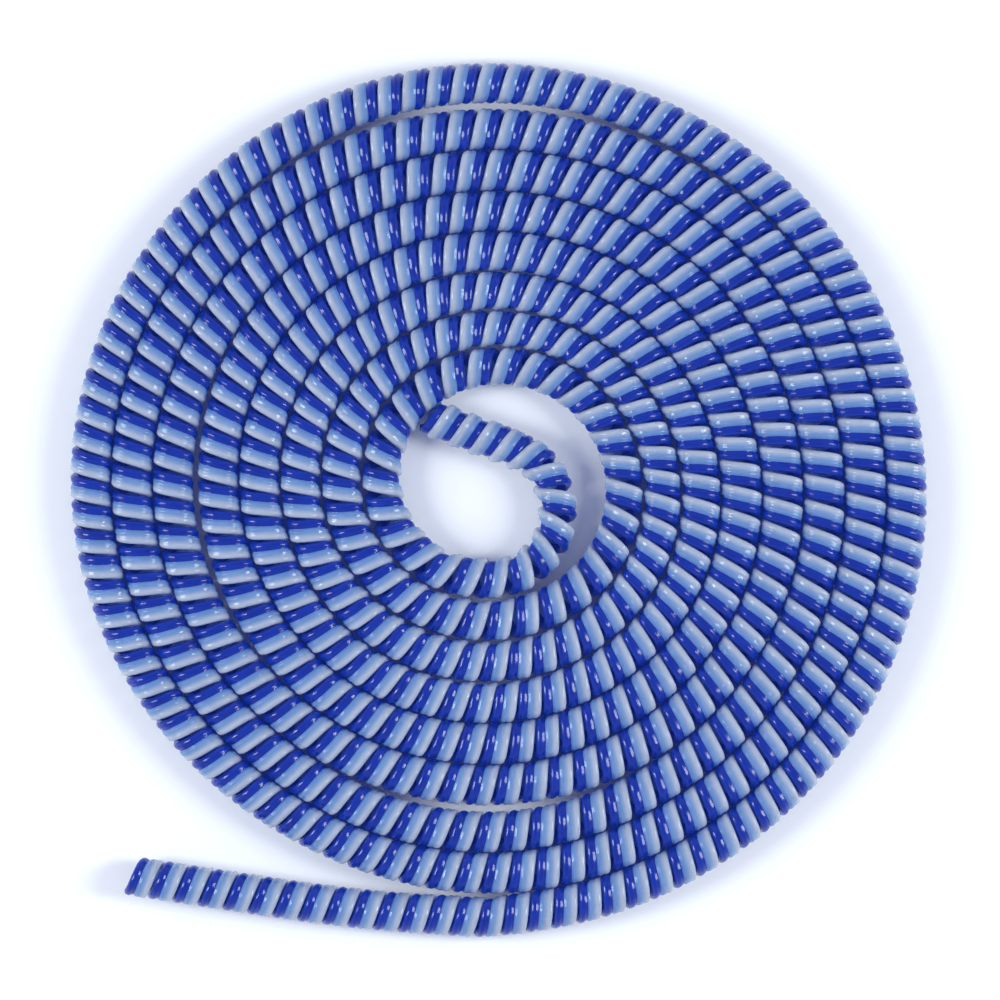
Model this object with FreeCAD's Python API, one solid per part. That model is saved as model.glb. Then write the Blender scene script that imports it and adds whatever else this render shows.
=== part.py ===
import FreeCAD, Part
import math
import os

# Spiral cord wrap, lying flat as one loose coil with a free tail and a free inner end.
# Units are millimetres. +Z is up, the coil lies on Z = 0, and the origin is under its middle.
# The wall of the real tube is a ribbon of three bonded strands, wound close: white, light blue, and a
# thicker dark blue one, flush on the outside. Here the tube is plain: a hollow tube along each end, and
# one closed solid of the outer shape of the coil between them.

# ---- driving dimensions ----
TUBE_OD = 4.45
THICKEST_STRAND = 1.00
TUBE_BORE = TUBE_OD - 2.0 * THICKEST_STRAND

# the coil's centreline, from its outer start at the bottom, anticlockwise and inward
COIL_TURNS = 7.875
SPIRAL_CENTRE = (-0.91, 1.31)
START_RADIUS = 46.7
TURN_PITCH = 4.55
START_ANGLE = math.radians(270.0)
OVAL_SWELL = 0.33
OVAL_ANGLE = math.radians(-18.0)

# where the loose turns stand off the even spiral, each once a turn: the first place in turns from the
# start, for how many turns, distance out, and turns either side
STAND_OFFS = (
    (0.00, 3, 0.62, 0.06),
    (0.77, 3, 0.45, 0.08),
    (1.46, 3, -0.30, 0.10),
    (0.54, 1, 0.35, 0.08),
    (6.40, 1, 0.60, 0.20),
    (7.40, 1, 1.20, 0.22),
)

# the tail, from its free end to the coil, and the inner end, from the coil to its free end (X, Y)
TAIL_POINTS = ((-39.79, -41.54), (-29.42, -43.16), (-18.86, -44.70), (-10.61, -45.54), (-5.55, -45.80))
INNER_POINTS = (
    (-6.85, -7.535),
    (-3.12, -8.68),
    (1.44, -8.66),
    (5.34, -5.84),
    (6.77, -1.33),
    (5.34, 3.13),
    (2.55, 5.12),
    (-2.14, 6.87),
    (-5.99, 8.46),
)

# the step where the inner end leaves is square to the tube, not to the spiral's centre
STEP_LEAN = 0.0066

OUTLINE_ARCS_PER_TURN = 12
BEND_SHARE = 0.45


def spiral_radius(turn):
    angle = START_ANGLE + 2.0 * math.pi * turn
    radius = START_RADIUS - TURN_PITCH * turn + OVAL_SWELL * math.cos(2.0 * (angle - OVAL_ANGLE))
    for first, times, height, spread in STAND_OFFS:
        for middle in range(times):
            radius += height * math.exp(-(((turn - first - middle) / spread) ** 2))
    return radius


def spiral_point(turn, offset=0.0, z=0.0):
    angle = START_ANGLE + 2.0 * math.pi * turn
    radius = spiral_radius(turn) + offset
    x = SPIRAL_CENTRE[0] + radius * math.cos(angle)
    y = SPIRAL_CENTRE[1] + radius * math.sin(angle)
    return FreeCAD.Vector(x, y, z)


def spiral_edges(first_turn, last_turn, offset):
    count = round(abs(last_turn - first_turn) * OUTLINE_ARCS_PER_TURN)
    step = (last_turn - first_turn) / count
    edges = []
    for i in range(count):
        turn = first_turn + i * step
        start = spiral_point(turn, offset)
        middle = spiral_point(turn + 0.5 * step, offset)
        end = spiral_point(turn + step, offset)
        edges.append(Part.Arc(start, middle, end).toShape())
    return edges


def closed_face(edges):
    first = edges[0].Vertexes[0].Point
    last = edges[-1].Vertexes[-1].Point
    edges.append(Part.LineSegment(last, first).toShape())
    return Part.Face(Part.Wire(edges))


def make_coil():
    half = 0.5 * TUBE_OD
    outside = closed_face(spiral_edges(0.0, 1.0, half))
    hole = closed_face(spiral_edges(COIL_TURNS - 1.0 + STEP_LEAN, COIL_TURNS, -half))
    height = FreeCAD.Vector(0.0, 0.0, TUBE_OD)
    return outside.extrude(height).cut(hole.extrude(height))


def inner_step_middle(z):
    inner_corner = spiral_point(COIL_TURNS, -0.5 * TUBE_OD, z)
    across = spiral_point(COIL_TURNS - 1.0 + STEP_LEAN, -0.5 * TUBE_OD, z) - inner_corner
    across.normalize()
    return inner_corner + across * 0.5 * TUBE_OD


def centreline(points):
    # straight runs joined by tangent arcs, each as large as its two runs allow
    edges = []
    radii = []
    here = points[0]
    for before, corner, after in zip(points, points[1:], points[2:]):
        back = before - corner
        ahead = after - corner
        share = BEND_SHARE * min(back.Length, ahead.Length)
        turn = math.pi - back.getAngle(ahead)
        radii.append(share / math.tan(0.5 * turn))
        back.normalize()
        ahead.normalize()
        enter = corner + back * share
        leave = corner + ahead * share
        inward = back + ahead
        inward.normalize()
        sagitta = radii[-1] / math.cos(0.5 * turn) - radii[-1]
        edges.append(Part.LineSegment(here, enter).toShape())
        edges.append(Part.Arc(enter, corner + inward * sagitta, leave).toShape())
        here = leave
    edges.append(Part.LineSegment(here, points[-1]).toShape())
    return Part.Wire(edges), radii


def swept(path, start, direction, radius):
    circle = Part.Circle(start, direction, radius).toShape()
    return path.makePipeShell([Part.Wire([circle])], True, False)


def make_tube(name, points):
    path, radii = centreline(points)
    direction = points[1] - points[0]
    outer = swept(path, points[0], direction, 0.5 * TUBE_OD)
    inner = swept(path, points[0], direction, 0.5 * TUBE_BORE)
    tube = outer.cut(inner)
    expected = 0.25 * math.pi * (TUBE_OD ** 2 - TUBE_BORE ** 2) * path.Length
    print(name, "length", round(path.Length, 2), "bend radii", [round(r, 1) for r in radii])
    print(name, "volume", round(tube.Volume, 2), "section times length", round(expected, 2))
    return tube


def at_axis_height(points):
    return [FreeCAD.Vector(x, y, 0.5 * TUBE_OD) for x, y in points]


def write_step(name, shape):
    solid = shape.Solids[0]
    print(name, "solids", len(shape.Solids), "valid", solid.isValid(), "volume", round(solid.Volume, 1))
    solid.exportStep("parts/" + name + ".step")


axis_height = 0.5 * TUBE_OD
coil_start = spiral_point(0.0, 0.0, axis_height)
coil_end = inner_step_middle(axis_height)

os.makedirs("parts", exist_ok=True)
write_step("coil", make_coil())
write_step("outer_tail", make_tube("outer_tail", at_axis_height(TAIL_POINTS) + [coil_start]))
write_step("inner_end", make_tube("inner_end", [coil_end] + at_axis_height(INNER_POINTS)))
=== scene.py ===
import math

import bpy
import numpy as np
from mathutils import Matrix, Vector


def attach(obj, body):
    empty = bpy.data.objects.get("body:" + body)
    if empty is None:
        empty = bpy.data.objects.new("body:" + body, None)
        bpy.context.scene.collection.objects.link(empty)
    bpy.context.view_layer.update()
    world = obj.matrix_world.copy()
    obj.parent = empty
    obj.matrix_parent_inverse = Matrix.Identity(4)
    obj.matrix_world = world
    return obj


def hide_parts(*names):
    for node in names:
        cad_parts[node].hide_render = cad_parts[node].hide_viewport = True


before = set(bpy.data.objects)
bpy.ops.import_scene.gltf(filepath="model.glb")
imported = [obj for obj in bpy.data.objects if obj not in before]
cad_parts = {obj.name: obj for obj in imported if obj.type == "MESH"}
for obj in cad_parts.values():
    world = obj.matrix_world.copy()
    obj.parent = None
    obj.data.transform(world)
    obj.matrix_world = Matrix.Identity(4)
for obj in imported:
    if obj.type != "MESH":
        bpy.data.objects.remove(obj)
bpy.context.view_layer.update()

# Spiral cord wrap, lying as one loose coil. Units are metres, in the frame of the CAD model.
# Three bonded strands make one band, and the band is wound close, left-handed, into a tube.

# ---- the tube's route on the floor: tail, coil, inner end (X, Y) ----
TUBE_OD = 0.00445
TAIL_POINTS = (
    (-0.03979, -0.04154),
    (-0.02942, -0.04316),
    (-0.01886, -0.04470),
    (-0.01061, -0.04554),
    (-0.00555, -0.04580),
)
INNER_POINTS = (
    (-0.00685, -0.007535),
    (-0.00312, -0.00868),
    (0.00144, -0.00866),
    (0.00534, -0.00584),
    (0.00677, -0.00133),
    (0.00534, 0.00313),
    (0.00255, 0.00512),
    (-0.00214, 0.00687),
    (-0.00678, 0.00870),
)
COIL_TURNS = 7.875
SPIRAL_CENTRE = (-0.00091, 0.00131)
START_RADIUS = 0.0467
TURN_PITCH = 0.00455
START_ANGLE = math.radians(270.0)
OVAL_SWELL = 0.00033
OVAL_ANGLE = math.radians(-18.0)
# where loose turns stand off, each once a turn: the first place in turns from the start, for how many
# turns, distance out, and turns either side
STAND_OFFS = (
    (0.00, 3, 0.00062, 0.06),
    (0.77, 3, 0.00045, 0.08),
    (1.46, 3, -0.00030, 0.10),
    (0.54, 1, 0.00035, 0.08),
    (6.40, 1, 0.00060, 0.20),
    (7.40, 1, 0.00120, 0.22),
)
POINTS_PER_TURN = 24

# ---- the band: strands in order along the tube, from its outer free end ----
# From a strand's middle to its edge towards the outer end and away from it, and how deep the groove
# of the weld is there. A free edge has no groove, and is rounded.
BAND_THICKNESS = 0.0010
DARK_WELD_GROOVE = 0.00017
WHITE_WELD_GROOVE = 0.00005
EDGE_FULLNESS = 2.3  # 2 is a half round edge, more is nearer to square
STRANDS = (
    ("dark_blue_strand", "dark_blue_plastic", 0.00051, None, 0.00050, DARK_WELD_GROOVE),
    ("light_blue_strand", "light_blue_plastic", 0.00036, DARK_WELD_GROOVE, 0.00036, WHITE_WELD_GROOVE),
    ("white_strand", "white_plastic", 0.00037, WHITE_WELD_GROOVE, 0.00042, None),
)
BAND_WIDTH = sum(before + after for _, _, before, _, after, _ in STRANDS)
TUCK = 0.94  # how far the band tilts, in radians, where its turns have no room side by side
FIRST_ANGLE = math.radians(154.0)  # of the weld of the dark and light blue strands, at the route's start

# ---- the length of tube that one winding of the band takes ----
TAIL_PITCH = 0.00276
COIL_PITCH = 0.00281
COIL_PITCH_SWELL = 0.00011  # looser in the outer laps and closer in the inner ones, by this much
LOOSEST_LAP = 2.4
SWELL_LAPS = 6.5
BEND_PITCH = 0.00302  # where the innermost lap bends tighter, up to the free inner end
BEND_LAPS = (7.0, 8.3)
END_PITCH = 0.00242

# ---- where each strand is cut, in windings before the route's start and after its end ----
OUTER_CUT = 0.03
INNER_CUTS = {"dark_blue_strand": 0.60, "light_blue_strand": 0.05, "white_strand": 0.05}

# ---- laps that touch press each other's sides flat: half the way to the next lap, in tube radii ----
TOUCH = 1.03  # up to here they touch
NO_TOUCH = 1.25  # from here the side is round
SQUARENESS = 0.10  # how far the tube's corners stand out of the round where it is pressed

RINGS_PER_WINDING = 18


# ---- camera ----
FRAME_WIDTH = 0.110
LOOK_AT = Vector((0.00017, -0.00012, 0.5 * TUBE_OD))


def make_camera():
    data = bpy.data.cameras.new("camera")
    data.lens = 200.0
    camera = bpy.data.objects.new("camera", data)
    bpy.context.collection.objects.link(camera)
    distance = FRAME_WIDTH * data.lens / data.sensor_width
    camera.location = LOOK_AT + Vector((0.0, 0.0, distance))
    data.clip_start = 0.01
    bpy.context.scene.camera = camera


# ---- route ----
def spiral_radius(turn):
    angle = START_ANGLE + 2.0 * math.pi * turn
    radius = START_RADIUS - TURN_PITCH * turn + OVAL_SWELL * math.cos(2.0 * (angle - OVAL_ANGLE))
    for first, times, height, spread in STAND_OFFS:
        for middle in range(times):
            radius += height * math.exp(-(((turn - first - middle) / spread) ** 2))
    return radius


def route_points():
    step = 2.0 * math.pi / POINTS_PER_TURN
    outward = 1.0 / (1.0 - step * step / 8.0)  # the spline runs inside its points by this much
    points = list(TAIL_POINTS)
    for i in range(round(COIL_TURNS * POINTS_PER_TURN) + 1):
        turn = i / POINTS_PER_TURN
        angle = START_ANGLE + 2.0 * math.pi * turn
        radius = spiral_radius(turn) * outward
        x = SPIRAL_CENTRE[0] + radius * math.cos(angle)
        y = SPIRAL_CENTRE[1] + radius * math.sin(angle)
        points.append((x, y))
    points.extend(INNER_POINTS)
    return points


def read_spline(points, height):
    curve = bpy.data.curves.new("route", "CURVE")
    curve.dimensions = "3D"
    spline = curve.splines.new("NURBS")
    spline.points.add(len(points) - 1)
    for spline_point, (x, y) in zip(spline.points, points):
        spline_point.co = (x, y, height, 1.0)
    spline.order_u = 3
    spline.use_endpoint_u = True
    spline.resolution_u = 16
    holder = bpy.data.objects.new("route", curve)
    mesh = bpy.data.meshes.new_from_object(holder)
    line = np.array([vertex.co[:] for vertex in mesh.vertices])
    bpy.data.objects.remove(holder)
    bpy.data.meshes.remove(mesh)
    bpy.data.curves.remove(curve)
    return line


# ---- small helpers on arrays ----
def columns_at(where, known_at, values):
    return np.stack([np.interp(where, known_at, values[:, i]) for i in range(values.shape[1])], axis=1)


def unit(vectors):
    return vectors / np.linalg.norm(vectors, axis=-1, keepdims=True)


def blurred(values, width):
    window = np.hanning(width + 2)[1:-1]
    padded = np.pad(values, width // 2, mode="reflect", reflect_type="odd")
    return np.convolve(padded, window / window.sum(), mode="valid")


class Tube:
    """The tube's centreline, frame, windings and room, all by the length along it, a little past both ends."""

    STEP = 0.00025
    PAST_ENDS = 0.003
    ROOM_EVERY = 4
    SAME_LAP = 0.012

    def __init__(self, line):
        raw = np.concatenate(([0.0], np.cumsum(np.linalg.norm(np.diff(line, axis=0), axis=1))))
        self.length = raw[-1]
        before = line[0] + unit(line[0] - line[1]) * self.PAST_ENDS
        after = line[-1] + unit(line[-1] - line[-2]) * self.PAST_ENDS
        raw = np.concatenate(([-self.PAST_ENDS], raw, [self.length + self.PAST_ENDS]))
        line = np.vstack((before, line, after))
        self.at = np.arange(-self.PAST_ENDS, self.length + self.PAST_ENDS, self.STEP)
        self.centre = columns_at(self.at, raw, line)
        ahead = np.gradient(self.centre, axis=0)
        self.ahead = unit(np.stack([blurred(ahead[:, i], 13) for i in range(3)], axis=1))
        self.left = np.cross((0.0, 0.0, 1.0), self.ahead)
        self.windings = self.count_windings()
        self.room_left = self.find_room(1.0)
        self.room_right = self.find_room(-1.0)

    def count_windings(self):
        x = self.centre[:, 0] - SPIRAL_CENTRE[0]
        y = self.centre[:, 1] - SPIRAL_CENTRE[1]
        laps = np.unwrap(np.arctan2(y, x)) / (2.0 * math.pi) + 0.25
        laps -= round(laps[0])
        swell = np.cos(2.0 * math.pi * (laps - LOOSEST_LAP) / SWELL_LAPS)
        pitch = COIL_PITCH + COIL_PITCH_SWELL * swell
        pitch[laps < 0.0] = TAIL_PITCH
        pitch[laps > BEND_LAPS[0]] = BEND_PITCH
        pitch[laps > BEND_LAPS[1]] = END_PITCH
        windings = np.cumsum(self.STEP / blurred(pitch, 31))
        windings -= np.interp(0.0, self.at, windings)
        self.total_windings = np.interp(self.length, self.at, windings)
        return windings

    def find_room(self, side):
        """Half the way to the lap beside it, in tube radii."""
        centre = self.centre[:: self.ROOM_EVERY]
        ahead = self.ahead[:: self.ROOM_EVERY]
        left = self.left[:: self.ROOM_EVERY]
        at = self.at[:: self.ROOM_EVERY]
        between = centre[None, :, :] - centre[:, None, :]
        distance = np.linalg.norm(between, axis=2)
        beside = np.einsum("ijk,ik->ij", between, left) * side > 0.0
        square_on = np.abs(np.einsum("ijk,ik->ij", between, ahead)) < 0.5 * distance
        square_back = np.abs(np.einsum("ijk,jk->ij", between, ahead)) < 0.5 * distance
        other_lap = np.abs(at[:, None] - at[None, :]) > self.SAME_LAP
        nearest = np.where(beside & square_on & square_back & other_lap, distance, 1.0).min(axis=1)
        room = np.minimum(0.5 * nearest / (0.5 * TUBE_OD), NO_TOUCH)
        return np.interp(self.at, at, blurred(room, 9))


class Band:
    """The band's weld line on the outside of the tube, and the directions across and out of the band."""

    STEP = 1.0 / 90.0
    PAST_ENDS = 0.9

    def __init__(self, tube):
        per_winding = round(1.0 / self.STEP)
        self.at = np.arange(-self.PAST_ENDS, tube.total_windings + self.PAST_ENDS, self.STEP)
        along = np.interp(self.at, tube.windings, tube.at)
        angle = FIRST_ANGLE - 2.0 * math.pi * self.at
        up = np.array((0.0, 0.0, 1.0))
        left = columns_at(along, tube.at, tube.left)
        room_left = np.interp(along, tube.at, tube.room_left)
        room_right = np.interp(along, tube.at, tube.room_right)
        room = np.where(np.cos(angle) > 0.0, room_left, room_right)
        touching = np.clip((NO_TOUCH - room) / (NO_TOUCH - TOUCH), 0.0, 1.0)
        half_width = 0.5 * TUBE_OD * (1.0 + touching * (np.minimum(room, TOUCH) - 1.0))
        half_height = 0.5 * TUBE_OD
        square = 1.0 + SQUARENESS * touching * np.sin(2.0 * angle) ** 2
        square_slope = 2.0 * SQUARENESS * touching * np.sin(4.0 * angle)
        sideways = half_width * square * np.cos(angle)
        upward = half_height * square * np.sin(angle)
        self.weld = columns_at(along, tube.at, tube.centre) + left * sideways[:, None] + up * upward[:, None]
        sideways_slope = half_width * (square_slope * np.cos(angle) - square * np.sin(angle))
        upward_slope = half_height * (square_slope * np.sin(angle) + square * np.cos(angle))
        out = unit(left * upward_slope[:, None] - up * sideways_slope[:, None])
        forward = unit(np.gradient(self.weld, axis=0))
        self.across = unit(np.cross(forward, out))
        self.out = np.cross(self.across, forward)
        before = np.roll(self.weld, per_winding, axis=0)
        pitch = np.einsum("ij,ij->i", self.weld - before, self.across)
        pitch[:per_winding] = pitch[per_winding]
        short = np.clip(BAND_WIDTH - blurred(pitch, 15), 0.0, None)
        self.tilt = TUCK * np.sqrt(short / BAND_WIDTH)

    def place(self, windings, outline, middle):
        """A strand's rings of points and their normals. Where tight, the band tilts about its white strand."""
        tilt = np.interp(windings, self.at, self.tilt)
        cosine = np.cos(tilt)[:, None]
        sine = np.sin(tilt)[:, None]
        weld = columns_at(windings, self.at, self.weld)[:, None, :]
        across = columns_at(windings, self.at, self.across)[:, None, :]
        out = columns_at(windings, self.at, self.out)[:, None, :]

        from_pivot = middle + outline[None, :, 0] - PIVOT_ACROSS
        from_height = outline[None, :, 1] - PIVOT_OUT
        to_side = PIVOT_ACROSS + from_pivot * cosine - from_height * sine
        to_out = PIVOT_OUT + from_pivot * sine + from_height * cosine
        points = weld + across * to_side[:, :, None] + out * to_out[:, :, None]

        lean = outline[None, :, 2] * cosine - outline[None, :, 3] * sine
        rise = outline[None, :, 2] * sine + outline[None, :, 3] * cosine
        normals = unit(across * lean[:, :, None] + out * rise[:, :, None])
        return points, normals


PIVOT_ACROSS = STRANDS[1][2] + STRANDS[1][4] + STRANDS[2][2]  # the white strand's middle
PIVOT_OUT = -0.5 * BAND_THICKNESS


def half_section(width, groove):
    """One side of a strand's section, crest to foot: distances across and out, and the normal's two parts."""
    half_thickness = 0.5 * BAND_THICKNESS
    points = []
    if groove is None:
        for angle in (0.0, 30.0, 60.0, 90.0, 135.0, 180.0):
            sine = math.sin(math.radians(angle))
            cosine = math.cos(math.radians(angle))
            across = abs(sine) ** (2.0 / EDGE_FULLNESS)
            up = math.copysign(abs(cosine) ** (2.0 / EDGE_FULLNESS), cosine)
            lean = across ** (EDGE_FULLNESS - 1.0) / width
            rise = math.copysign(abs(up) ** (EDGE_FULLNESS - 1.0), up) / half_thickness
            points.append((width * across, half_thickness * (up - 1.0), lean, rise))
        return points
    for part in (0.0, 0.4, 0.75, 1.0):
        slope = 0.5 * groove * math.pi / width * math.sin(math.pi * part)
        points.append((width * part, -0.5 * groove * (1.0 - math.cos(math.pi * part)), slope, 1.0))
    points.append((width, groove - BAND_THICKNESS, 0.0, -1.0))
    points.append((0.0, -BAND_THICKNESS, 0.0, -1.0))
    return points


def section(before, groove_before, after, groove_after):
    """The whole section, once round from the crest, first on the side away from the outer end."""
    away = half_section(after, groove_after)
    back = [(-across, out, -lean, rise) for across, out, lean, rise in half_section(before, groove_before)]
    return np.array(away + back[-2:0:-1])


def make_strand(name, tube, band, outline, middle):
    sides = len(outline)
    first = -OUTER_CUT
    last = tube.total_windings + INNER_CUTS[name]
    rings = round((last - first) * RINGS_PER_WINDING) + 1
    windings = np.linspace(first, last, rings)
    points, normals = band.place(windings, outline, middle)

    ring = np.arange(rings - 1)[:, None] * sides
    side = np.arange(sides)[None, :]
    next_side = (side + 1) % sides
    quads = np.stack((ring + side, ring + next_side, ring + sides + next_side, ring + sides + side), axis=2)
    first_cap = rings * sides
    last_cap = first_cap + sides
    caps = [list(range(first_cap, last_cap))[::-1], list(range(last_cap, last_cap + sides))]
    cap_normals = [unit(points[0, 0] - points[1, 0]), unit(points[-1, 0] - points[-2, 0])]
    points = np.concatenate((points, points[:1], points[-1:]))
    normals = np.concatenate((normals, np.broadcast_to(np.array(cap_normals)[:, None, :], (2, sides, 3))))

    mesh = bpy.data.meshes.new(name)
    mesh.from_pydata(points.reshape(-1, 3).tolist(), [], quads.reshape(-1, 4).tolist() + caps)
    mesh.shade_smooth()
    mesh.normals_split_custom_set_from_vertices(normals.reshape(-1, 3).tolist())
    windings = np.concatenate((windings, windings[:1], windings[-1:]))
    add_strand_map(mesh, windings, outline)
    strand = bpy.data.objects.new(name, mesh)
    bpy.context.collection.objects.link(strand)
    return strand


def add_strand_map(mesh, windings, outline):
    """U is the length along the strand, in millimetres. V is the place across it, from -1 to 1."""
    length = np.repeat(windings * math.pi * TUBE_OD * 1000.0, len(outline))
    across = outline[:, 0] / np.where(outline[:, 0] > 0.0, outline[:, 0].max(), -outline[:, 0].min())
    per_vertex = np.stack((length, np.tile(across, len(windings))), axis=1)
    loop_vertices = np.empty(len(mesh.loops), dtype=np.int32)
    mesh.loops.foreach_get("vertex_index", loop_vertices)
    layer = mesh.uv_layers.new(name="strand")
    layer.data.foreach_set("uv", per_vertex[loop_vertices].ravel())


# ---- materials ----
DARK_BLUE = ((0.001, 0.014, 0.21), (0.003, 0.026, 0.29))  # deep and pale
LIGHT_BLUE = ((0.13, 0.24, 0.41), (0.17, 0.29, 0.47))
WHITE = ((0.37, 0.41, 0.44), (0.43, 0.47, 0.50))
WELD_BLUE = (0.08, 0.16, 0.38)  # of the light blue strand beside the dark one
DARK_SCATTER = (0.10, 0.15, 0.30)  # millimetres
PALE_SCATTER = (0.15, 0.15, 0.20)
GLOW = (0.003, 0.009, 0.070, 1.0)  # stands in for light that reaches the folds through the plastic
SMOOTHEST = 0.08
ROUGHEST = 0.17
SHARE_OF_STREAKS = 0.45
SHARE_OF_TINT = 0.5


def plastic(name, deep, pale, outer_tint, inner_tint, scatter):
    """Glossy moulded plastic: cloudy in depth, streaked along the strand, tinted by the strands beside it."""
    material = bpy.data.materials.new(name)
    material.use_nodes = True
    nodes = material.node_tree.nodes
    links = material.node_tree.links
    shader = nodes["Principled BSDF"]
    shader.inputs["IOR"].default_value = 1.40
    shader.inputs["Subsurface Weight"].default_value = 1.0
    shader.inputs["Subsurface Radius"].default_value = scatter
    shader.inputs["Subsurface Scale"].default_value = 0.001
    shader.inputs["Emission Color"].default_value = GLOW
    shader.inputs["Emission Strength"].default_value = 1.0

    place = nodes.new("ShaderNodeTexCoord")
    strand_map = nodes.new("ShaderNodeUVMap")
    strand_map.uv_map = "strand"
    stretch = nodes.new("ShaderNodeMapping")
    stretch.inputs["Scale"].default_value = (0.35, 1.6, 1.0)
    links.new(strand_map.outputs["UV"], stretch.inputs["Vector"])

    clouds = nodes.new("ShaderNodeTexNoise")
    clouds.inputs["Scale"].default_value = 420.0
    clouds.inputs["Detail"].default_value = 3.0
    links.new(place.outputs["Object"], clouds.inputs["Vector"])
    streaks = nodes.new("ShaderNodeTexNoise")
    streaks.inputs["Scale"].default_value = 1.0
    streaks.inputs["Detail"].default_value = 3.0
    links.new(stretch.outputs["Vector"], streaks.inputs["Vector"])

    both = nodes.new("ShaderNodeMix")
    both.data_type = "FLOAT"
    both.inputs["Factor"].default_value = SHARE_OF_STREAKS
    links.new(clouds.outputs["Fac"], both.inputs["A"])
    links.new(streaks.outputs["Fac"], both.inputs["B"])
    colour = nodes.new("ShaderNodeValToRGB")
    colour.color_ramp.elements[0].position = 0.36
    colour.color_ramp.elements[0].color = deep + (1.0,)
    colour.color_ramp.elements[1].position = 0.64
    colour.color_ramp.elements[1].color = pale + (1.0,)
    links.new(both.outputs["Result"], colour.inputs["Fac"])
    colour = colour.outputs["Color"]

    across = nodes.new("ShaderNodeSeparateXYZ")
    links.new(strand_map.outputs["UV"], across.inputs["Vector"])
    for tint, edge in ((outer_tint, -1.0), (inner_tint, 1.0)):
        if tint is None:
            continue
        near = nodes.new("ShaderNodeMapRange")
        near.interpolation_type = "SMOOTHSTEP"
        near.inputs["From Min"].default_value = 0.1 * edge
        near.inputs["From Max"].default_value = edge
        near.inputs["To Max"].default_value = SHARE_OF_TINT
        links.new(across.outputs["Y"], near.inputs["Value"])
        mix = nodes.new("ShaderNodeMix")
        mix.data_type = "RGBA"
        links.new(near.outputs["Result"], mix.inputs[0])
        links.new(colour, mix.inputs[6])
        mix.inputs[7].default_value = tint + (1.0,)
        colour = mix.outputs[2]
    links.new(colour, shader.inputs["Base Color"])

    gloss = nodes.new("ShaderNodeMapRange")
    gloss.inputs["To Min"].default_value = SMOOTHEST
    gloss.inputs["To Max"].default_value = ROUGHEST
    links.new(clouds.outputs["Fac"], gloss.inputs["Value"])
    links.new(gloss.outputs["Result"], shader.inputs["Roughness"])

    bump = nodes.new("ShaderNodeBump")
    bump.inputs["Strength"].default_value = 0.6
    bump.inputs["Distance"].default_value = 0.000006
    links.new(both.outputs["Result"], bump.inputs["Height"])
    links.new(bump.outputs["Normal"], shader.inputs["Normal"])
    return material


def make_materials():
    return {
        "dark_blue_plastic": plastic("dark_blue_plastic", *DARK_BLUE, None, None, DARK_SCATTER),
        "light_blue_plastic": plastic("light_blue_plastic", *LIGHT_BLUE, WELD_BLUE, WHITE[0], PALE_SCATTER),
        "white_plastic": plastic("white_plastic", *WHITE, LIGHT_BLUE[1], None, PALE_SCATTER),
    }


# ---- floor and light ----
def make_floor():
    half = 1.5
    corners = [(-half, -half, 0.0), (half, -half, 0.0), (half, half, 0.0), (-half, half, 0.0)]
    mesh = bpy.data.meshes.new("floor")
    mesh.from_pydata(corners, [], [(0, 1, 2, 3)])
    floor = bpy.data.objects.new("floor", mesh)
    bpy.context.collection.objects.link(floor)
    floor.location.z = -0.00002
    material = bpy.data.materials.new("floor")
    material.use_nodes = True
    shader = material.node_tree.nodes["Principled BSDF"]
    shader.inputs["Base Color"].default_value = (0.95, 0.94, 0.88, 1.0)
    shader.inputs["Roughness"].default_value = 0.9
    shader.inputs["Specular IOR Level"].default_value = 0.1
    mesh.materials.append(material)


SOFTBOX_LEAN = math.radians(53.0)
SOFTBOX_DISTANCE = 0.5
SOFTBOX_POWER = 1.75
SOFTBOX_WIDTH = 0.28
SOFTBOX_DEPTH = 0.16
SOFTBOX_COLOUR = (0.90, 0.96, 1.0)


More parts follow.
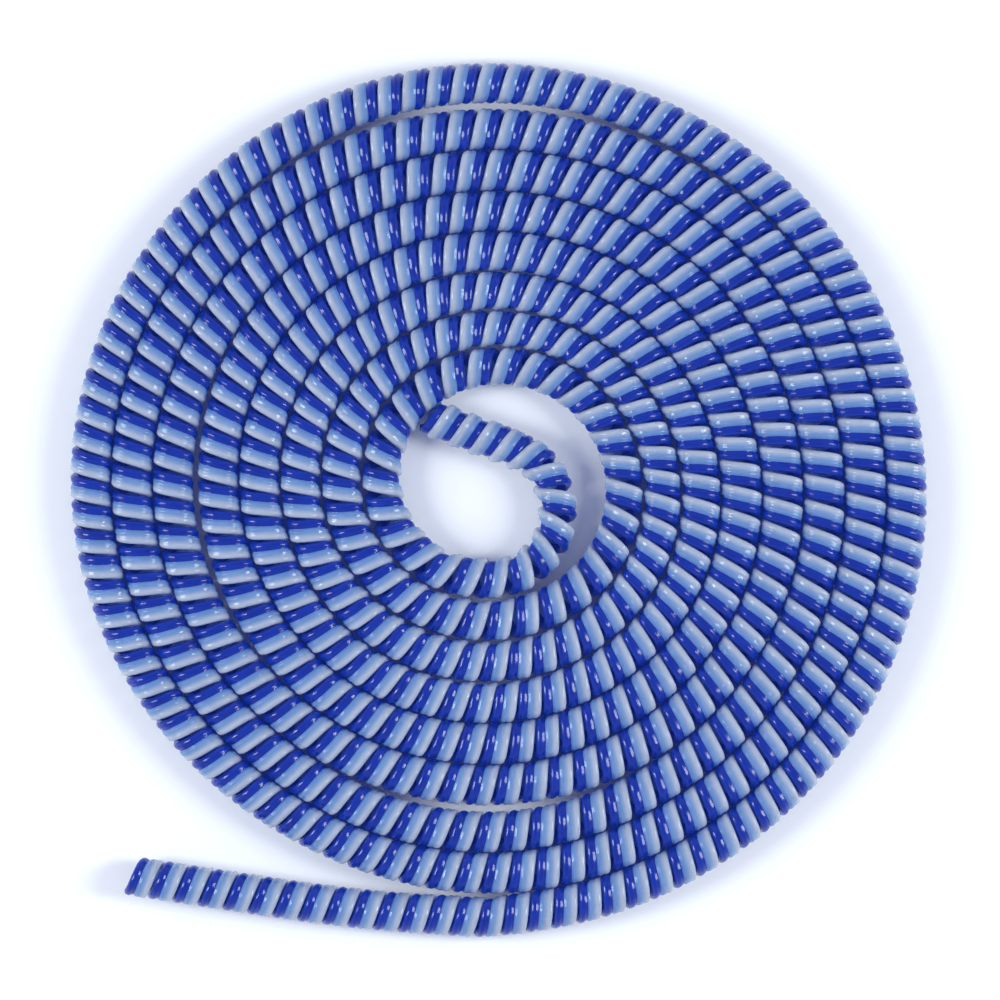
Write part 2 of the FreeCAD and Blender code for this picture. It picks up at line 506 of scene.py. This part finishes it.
def make_softbox(name, lean):
    """A softbox over the coil, leaning from the vertical towards +X by this angle, facing the coil."""
    data = bpy.data.lights.new(name, "AREA")
    data.shape = "RECTANGLE"
    data.size = SOFTBOX_WIDTH
    data.size_y = SOFTBOX_DEPTH
    data.energy = SOFTBOX_POWER
    data.color = SOFTBOX_COLOUR
    light = bpy.data.objects.new(name, data)
    light.location = (SOFTBOX_DISTANCE * math.sin(lean), 0.0, SOFTBOX_DISTANCE * math.cos(lean))
    light.rotation_euler = (0.0, lean, 0.0)
    light.visible_camera = False
    bpy.context.collection.objects.link(light)


def make_lights():
    make_softbox("left_softbox", -SOFTBOX_LEAN)
    make_softbox("right_softbox", SOFTBOX_LEAN)
    world = bpy.data.worlds.new("studio")
    world.use_nodes = True
    nodes = world.node_tree.nodes
    links = world.node_tree.links
    direction = nodes.new("ShaderNodeTexCoord")
    height = nodes.new("ShaderNodeSeparateXYZ")
    sky = nodes.new("ShaderNodeValToRGB")
    sky.color_ramp.elements[0].position = 0.1
    sky.color_ramp.elements[0].color = (0.95, 0.96, 1.0, 1.0)
    sky.color_ramp.elements[1].position = 0.9
    sky.color_ramp.elements[1].color = (0.40, 0.46, 0.80, 1.0)
    links.new(direction.outputs["Generated"], height.inputs["Vector"])
    links.new(height.outputs["Z"], sky.inputs["Fac"])
    links.new(sky.outputs["Color"], nodes["Background"].inputs["Color"])
    nodes["Background"].inputs["Strength"].default_value = 0.75
    bpy.context.scene.world = world
    bpy.context.scene.view_settings.view_transform = "Standard"


# ---- make it ----
make_camera()
route = read_spline(route_points(), 0.5 * TUBE_OD)
tube = Tube(route)
band = Band(tube)
materials = make_materials()

edge = -STRANDS[0][2] - STRANDS[0][4]
for name, slot, before, groove_before, after, groove_after in STRANDS:
    outline = section(before, groove_before, after, groove_after)
    strand = make_strand(name, tube, band, outline, edge + before)
    strand.data.materials.append(materials[slot])
    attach(strand, "root")
    edge += before + after

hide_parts("coil", "outer_tail", "inner_end")

make_floor()
make_lights()
